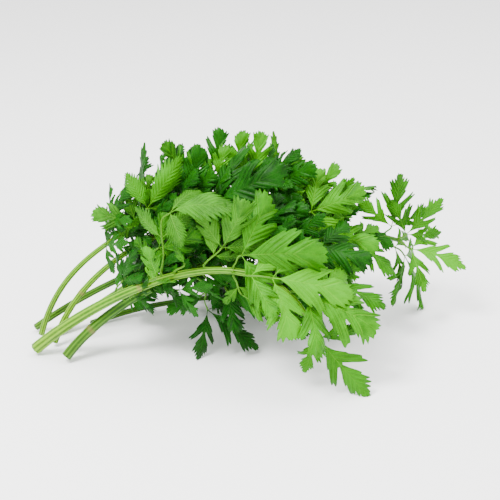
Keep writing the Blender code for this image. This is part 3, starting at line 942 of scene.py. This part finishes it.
@dataclass
class LeafPiece:
    """Turns grown leaves into two pieces: the leaflets, and the stalks."""

    name: str
    node: str
    slot: str
    growers: list[LeafGrower]
    materials: dict[str, bpy.types.Material]
    thickness: float = 0.32 * MM

    def make(self) -> tuple[bpy.types.Object, bpy.types.Object]:
        """Makes both pieces.

        Returns:
            The leaflets and the stalks.
        """
        shape = bmesh.new()
        for layer in LEAF_LAYERS:
            shape.verts.layers.float.new(layer)
        for grower in self.growers:
            grower.add_blades(shape)
        bmesh.ops.remove_doubles(shape, verts=shape.verts, dist=0.5 * WELD)
        for face in shape.faces:
            face.smooth = True
        both = [self.materials[f"{self.slot}_upper"], self.materials[f"{self.slot}_under"]]
        blades = new_piece(shape, f"{self.name}_blades", both, self.node)
        body = blades.modifiers.new("thickness", "SOLIDIFY")
        body.thickness = self.thickness
        body.offset = 0.0
        body.material_offset = 1
        shape = TubeMaker.new_mesh()
        for grower in self.growers:
            grower.add_stalk(shape)
        stalks = new_piece(shape, f"{self.name}_stalk", [self.materials["stalk"]], self.node)
        return blades, stalks


STEM_RINGS = {
    "stem_front": (0.42,),
    "stem_upper": (0.20,),
    "stem_thick": (0.13,),
}

# The share of a stem where its small leaves start and end, and the degrees around it that they fill
THICKETS = {
    "stem_thick": (0.30, 0.95, (-40.0, 120.0)),
    "stem_upper": (0.40, 0.95, (-80.0, 80.0)),
    "stem_arching": (0.50, 0.95, (-90.0, 90.0)),
    "stem_long": (0.30, 0.80, (-110.0, 110.0)),
    "stem_back": (0.25, 1.00, (-110.0, 150.0)),
    "stem_low": (0.60, 1.00, (-70.0, 70.0)),
}
THICKET_GRID = (3, 2)  # rows and splits of a small leaflet


@dataclass
class Thicket:
    """Fills the leafy part of a stem with small leaves, which the CAD leaves stand in front of."""

    stem: StemPlace
    stems: list[StemPlace]
    low: Vector
    high: Vector
    hubs: list[Vector]
    tips: list[Vector]
    leafy: tuple[float, float]
    turns: tuple[float, float]
    spacing: float = 4.0 * MM
    stalk_lengths: tuple[float, float] = (3.0 * MM, 17.0 * MM)
    lengths: tuple[float, float] = (18.0 * MM, 28.0 * MM)
    hub_room: float = 6.0 * MM
    roof_reach: float = 20.0 * MM
    roof_room: float = 3.0 * MM
    tip_room: float = 1.5 * MM
    side_angle: float = math.radians(56.0)
    side_share: float = 0.78
    tries: int = 4
    stalk_lean: float = 0.5
    outward: tuple[float, float] = (0.3, 0.9)
    lift: tuple[float, float] = (-0.2, 0.3)
    bends: tuple[float, float] = (15.0, 40.0)
    stalk_places: tuple[float, float] = (0.35, 0.8)

    def leaves(self) -> list[LeafPlace]:
        """Finds a free place for each small leaf.

        Returns:
            Their places.
        """
        rng = random.Random(f"{self.stem.node} thicket")
        line = smooth_line(self.stem.line, self.spacing)
        places = []
        first, last = (round(share * (len(line) - 1)) for share in self.leafy)
        for i in range(max(first, 1), last + 1):
            for _ in range(self.tries):
                place = self.try_place(line[i], (line[i] - line[i - 1]).normalized(), rng)
                if place:
                    places.append(place)
                    self.hubs.append(place.stalk[-1])
                    break
        return places

    def roof(self, spot: Vector) -> float:
        """Gives the height that the small leaves near a point stay under, from the CAD leaves' tips."""
        near = [tip.z for tip in self.tips if abs(tip.x - spot.x) < self.roof_reach]
        return max(near, default=spot.z) - self.roof_room

    def try_place(self, root: Vector, ahead: Vector, rng: random.Random) -> LeafPlace | None:
        """Tries one leaf.

        Args:
            root: Where it leaves the stem.
            ahead: Which way the stem runs there.
            rng: The source of its small differences.

        Returns:
            Its place, or None if it would meet something.
        """
        top = (UP - ahead * UP.dot(ahead)).normalized()
        out = Matrix.Rotation(math.radians(rng.uniform(*self.turns)), 3, ahead) @ top
        reach = rng.uniform(*self.stalk_lengths)
        hub = root + out * reach + ahead * reach * self.stalk_lean
        axis = out * rng.uniform(*self.outward) + ahead * 0.8 + UP * rng.uniform(*self.lift)
        axis = axis.normalized()
        upper = UP * 0.7 + out * 0.6 - ahead * 0.3 - Vector((0.0, 0.5, 0.0))
        upper = (upper - axis * upper.dot(axis)).normalized()
        length = rng.uniform(*self.lengths)
        blades = [BladePlace(hub, hub + axis * length, upper, math.radians(rng.uniform(*self.bends)))]
        for hand in (-1, 1):
            side = Matrix.Rotation(self.side_angle * hand, 3, upper) @ axis
            tip = hub + side * length * self.side_share
            blades.append(BladePlace(hub, tip, upper, math.radians(rng.uniform(*self.bends))))
        if max(blade.tip.z for blade in blades) > self.roof(hub):
            return None
        for spot in (hub, *(blade.tip for blade in blades)):
            near, radius = nearest_on_lines(spot, self.stems)
            inside = all(self.low[k] + MM < spot[k] < self.high[k] - MM for k in range(3))
            if not inside or (spot - near).length < radius + self.tip_room:
                return None
        if any((hub - other).length < self.hub_room for other in self.hubs):
            return None
        stalk = [root + out * reach * place for place in self.stalk_places]
        return LeafPlace(self.stem.node, "", [*stalk, hub], blades)


# ---------------------------------------------------------------- stems


def nearest_on_lines(spot: Vector, stems: list[StemPlace]) -> tuple[Vector, float]:
    """Finds the nearest point on the middle lines of the stems.

    Args:
        spot: The point that is asked about.
        stems: The stems.

    Returns:
        The nearest point and the stem's radius there.
    """
    best = (math.inf, spot, 0.0)
    for stem in stems:
        for i, (a, b) in enumerate(zip(stem.line, stem.line[1:])):
            run = b - a
            share = min(max((spot - a).dot(run) / run.length_squared, 0.0), 1.0)
            near = a + run * share
            radius = stem.radii[i] + (stem.radii[i + 1] - stem.radii[i]) * share
            gap = (spot - near).length - radius
            if gap < best[0]:
                best = (gap, near, radius)
    return best[1], best[2]


def smooth_line(points: list[Vector], step: float) -> list[Vector]:
    """Runs a smooth curve through points and reads it about evenly.

    Args:
        points: The points that it passes through.
        step: About how far apart the read points are.

    Returns:
        The read points.
    """
    ends = [points[0] * 2 - points[1], *points, points[-1] * 2 - points[-2]]
    read = [points[0]]
    for i in range(1, len(ends) - 2):
        start, end = ends[i], ends[i + 1]
        parts = max(1, round((end - start).length / step))
        leave = start + (end - ends[i - 1]) / 6
        arrive = end - (ends[i + 2] - start) / 6
        read += interpolate_bezier(start, leave, arrive, end, parts + 1)[1:]
    return read


@dataclass
class TubeMaker:
    """Makes a ribbed tube along a line by extruding a ring of corners."""

    line: list[Vector]
    radii: list[float]
    sides: int
    ribs: int
    rib_depth: float
    blushes: tuple[float, ...] = ()
    blush_width: float = 0.007
    least_across: float = 0.05

    @staticmethod
    def new_mesh() -> bmesh.types.BMesh:
        """Starts a mesh with the layers that the stem material reads."""
        shape = bmesh.new()
        for layer in TUBE_LAYERS:
            shape.verts.layers.float.new(layer)
        return shape

    def add(self, shape: bmesh.types.BMesh) -> None:
        """Adds the tube to a mesh.

        Args:
            shape: A mesh from new_mesh.
        """
        before = set(shape.faces)
        ring = bmesh.ops.create_circle(shape, cap_ends=False, segments=self.sides, radius=1.0)["verts"]
        turns = [math.atan2(corner.co.y, corner.co.x) for corner in ring]
        edges = list({edge for corner in ring for edge in corner.link_edges})
        self.shape_ring(shape, ring, turns, 0)
        first = list(edges)
        for i in range(1, len(self.line)):
            made = bmesh.ops.extrude_edge_only(shape, edges=edges)["geom"]
            grown = [item for item in made if isinstance(item, bmesh.types.BMVert)]
            edges = [item for item in made if isinstance(item, bmesh.types.BMEdge)]
            by_spot = {tuple(round(c, 9) for c in corner.co): corner for corner in grown}
            ring = [by_spot[tuple(round(c, 9) for c in corner.co)] for corner in ring]
            self.shape_ring(shape, ring, turns, i)
        for rim in (first, edges):
            bmesh.ops.holes_fill(shape, edges=rim, sides=self.sides)
        made = [face for face in shape.faces if face not in before]
        bmesh.ops.recalc_face_normals(shape, faces=made)
        for face in made:
            face.smooth = len(face.verts) < 5

    def shape_ring(self, shape: bmesh.types.BMesh, ring: list, turns: list[float], index: int) -> None:
        """Puts one ring of corners where it belongs.

        Args:
            shape: The mesh.
            ring: The corners, in order.
            turns: Their angles around the tube.
            index: Which ring it is.
        """
        layers = {key: shape.verts.layers.float[key] for key in TUBE_LAYERS}
        line = self.line
        ahead = line[min(index + 1, len(line) - 1)] - line[max(index - 1, 0)]
        forward = ahead.normalized()
        across = forward.cross(UP)
        across = across.normalized() if across.length > self.least_across else Vector((1.0, 0.0, 0.0))
        top = across.cross(forward)
        share = index / (len(line) - 1)
        blushed = (max(0.0, 1.0 - abs(share - spot) / self.blush_width) for spot in self.blushes)
        blush = max(blushed, default=0.0)
        for corner, turn in zip(ring, turns):
            wave = math.cos(self.ribs * turn)
            radius = self.radii[index] * (1.0 + self.rib_depth * wave)
            corner.co = line[index] + (across * math.cos(turn) + top * math.sin(turn)) * radius
            corner[layers["along"]] = share
            corner[layers["rib"]] = wave
            corner[layers["blush"]] = blush


@dataclass
class StemGrower:
    """Makes one ribbed stem, with a ring where leaves part from it."""

    place: StemPlace
    materials: dict[str, bpy.types.Material]
    rings: tuple[float, ...]
    step: float = 2.0 * MM
    sides: int = 40
    ribs: int = 8
    rib_depth: float = 0.05
    swelling: float = 0.10
    swelling_width: float = 0.012

    def stem(self) -> bpy.types.Object:
        """Makes the stem.

        Returns:
            The piece.
        """
        line = smooth_line(self.place.line, self.step)
        last = len(line) - 1
        read = self.place.radii
        radii = []
        for i in range(last + 1):
            share = i / last
            spot = share * (len(read) - 1)
            low = min(int(spot), len(read) - 2)
            radius = read[low] + (read[low + 1] - read[low]) * (spot - low)
            grown = sum(math.exp(-(((share - ring) / self.swelling_width) ** 2)) for ring in self.rings)
            radii.append(radius * (1.0 + self.swelling * grown))
        shape = TubeMaker.new_mesh()
        TubeMaker(line, radii, self.sides, self.ribs, self.rib_depth, self.rings).add(shape)
        skin = self.materials[self.place.slot]
        return new_piece(shape, f"{self.place.node}_ribbed", [skin], self.place.node)


# ---------------------------------------------------------------- studio


@dataclass
class Studio:
    """The floor, the lights and the camera."""

    low: Vector
    high: Vector
    elevation: float = math.radians(24.0)
    lens: float = 85.0
    distance: float = 0.715
    aim_drop: float = 0.0015
    floor_reach: float = 6.0
    sky_strength: float = 1.75

    def floor(self) -> None:
        """Makes the pale floor."""
        shape = bmesh.new()
        bmesh.ops.create_grid(shape, x_segments=1, y_segments=1, size=self.floor_reach)
        mesh = bpy.data.meshes.new("floor")
        shape.to_mesh(mesh)
        shape.free()
        floor = bpy.data.objects.new("floor", mesh)
        bpy.context.scene.collection.objects.link(floor)
        material = bpy.data.materials.new("floor_white")
        material.use_nodes = True
        shader = material.node_tree.nodes["Principled BSDF"]
        shader.inputs["Base Color"].default_value = colour(0.97, 0.97, 0.965)
        shader.inputs["Roughness"].default_value = 0.7
        mesh.materials.append(material)
        floor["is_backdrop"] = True

    def lights(self) -> None:
        """Makes a bright even sky, a soft key light from the left and a fill from the right."""
        world = bpy.data.worlds.new("studio")
        world.use_nodes = True
        sky = world.node_tree.nodes["Background"]
        sky.inputs["Color"].default_value = colour(1.0, 1.0, 1.0)
        sky.inputs["Strength"].default_value = self.sky_strength
        bpy.context.scene.world = world
        centre = (self.low + self.high) / 2
        for name, spot, size, power in (
            ("key", Vector((-0.45, -0.40, 0.95)), 0.4, 32.0),
            ("top", Vector((0.35, 0.25, 1.1)), 0.8, 16.0),
            ("fill", Vector((0.8, -0.6, 0.45)), 0.8, 3.0),
        ):
            lamp = bpy.data.lights.new(name, "AREA")
            lamp.size = size
            lamp.energy = power
            light = bpy.data.objects.new(name, lamp)
            light.location = centre + spot
            light.rotation_euler = (-spot).to_track_quat("-Z", "Y").to_euler()
            bpy.context.scene.collection.objects.link(light)

    def camera(self) -> None:
        """Puts the camera in front of the bunch, looking down a little."""
        centre = (self.low + self.high) / 2
        aim = Vector((centre.x, centre.y, centre.z - self.aim_drop))
        back = Vector((0.0, -math.cos(self.elevation), math.sin(self.elevation)))
        data = bpy.data.cameras.new("camera")
        data.lens = self.lens
        camera = bpy.data.objects.new("camera", data)
        camera.location = aim + back * self.distance
        camera.rotation_euler = (-back).to_track_quat("-Z", "Y").to_euler()
        bpy.context.scene.collection.objects.link(camera)
        bpy.context.scene.camera = camera


def clear_scene() -> None:
    """Removes what an empty file starts with."""
    for thing in list(bpy.data.objects):
        bpy.data.objects.remove(thing, do_unlink=True)


def make_materials() -> dict[str, bpy.types.Material]:
    """Makes every material of the bunch.

    Returns:
        The materials by key.
    """
    skin = make_leaf_skin_group()
    made = {f"{slot}_upper": finish.make(skin) for slot, finish in UPPER_FINISHES.items()}
    made |= {f"{slot}_under": finish.make(skin) for slot, finish in UNDER_FINISHES.items()}
    made |= {slot: finish.make() for slot, finish in STEM_FINISHES.items()}
    made["stalk"] = STALK_FINISH.make()
    return made


def main() -> None:
    """Grows the bunch on its frame."""
    logging.basicConfig(level=logging.INFO, format="%(name)s: %(message)s")
    clear_scene()
    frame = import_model()
    low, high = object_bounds()
    reader = FrameReader(frame)
    slots = reader.slots()
    materials = make_materials()
    nodes = sorted(frame["nodes"])
    stems = [reader.read_stem(node, slots[node]) for node in nodes if node.startswith("stem_")]
    for stem in stems:
        piece = StemGrower(stem, materials, STEM_RINGS.get(stem.node, ())).stem()
        log.info("%s: %d rings, %d faces", piece.name, len(stem.line), len(piece.data.polygons))
    leaves = [reader.read_leaf(node, slots[node]) for node in nodes if node.startswith("leaf_")]
    for leaf in leaves:
        grower = LeafGrower(leaf, stems, FORMS.get(leaf.node, LeafForm.FAN), random.Random(leaf.node))
        blades, stalk = LeafPiece(leaf.node, leaf.node, leaf.slot, [grower], materials).make()
        log.info("%s: %d leaflets, %d and %d faces", leaf.node, len(leaf.blades),
                 len(blades.data.polygons), len(stalk.data.polygons))
    hubs = [leaf.stalk[-1] for leaf in leaves]
    tips = [blade.tip for leaf in leaves for blade in leaf.blades]
    for stem in stems:
        if stem.node not in THICKETS:
            continue
        start, end, turns = THICKETS[stem.node]
        small = Thicket(stem, stems, low, high, hubs, tips, (start, end), turns).leaves()
        rng = random.Random(stem.node)
        growers = [
            LeafGrower(place, stems, rng.choice((LeafForm.FAN, LeafForm.CUT)), rng, *THICKET_GRID)
            for place in small
        ]
        # The small inner leaves take the leaf_dark finish, whose darker greens are painted shade.
        blades, stalk = LeafPiece(f"{stem.node}_thicket", stem.node, "leaf_dark", growers, materials).make()
        log.info("%s: %d small leaves, %d and %d faces", blades.name, len(small),
                 len(blades.data.polygons), len(stalk.data.polygons))
    studio = Studio(Vector(low), Vector(high))
    studio.floor()
    studio.lights()
    studio.camera()
    bpy.context.view_layer.update()


if __name__ == "__main__":
    main()
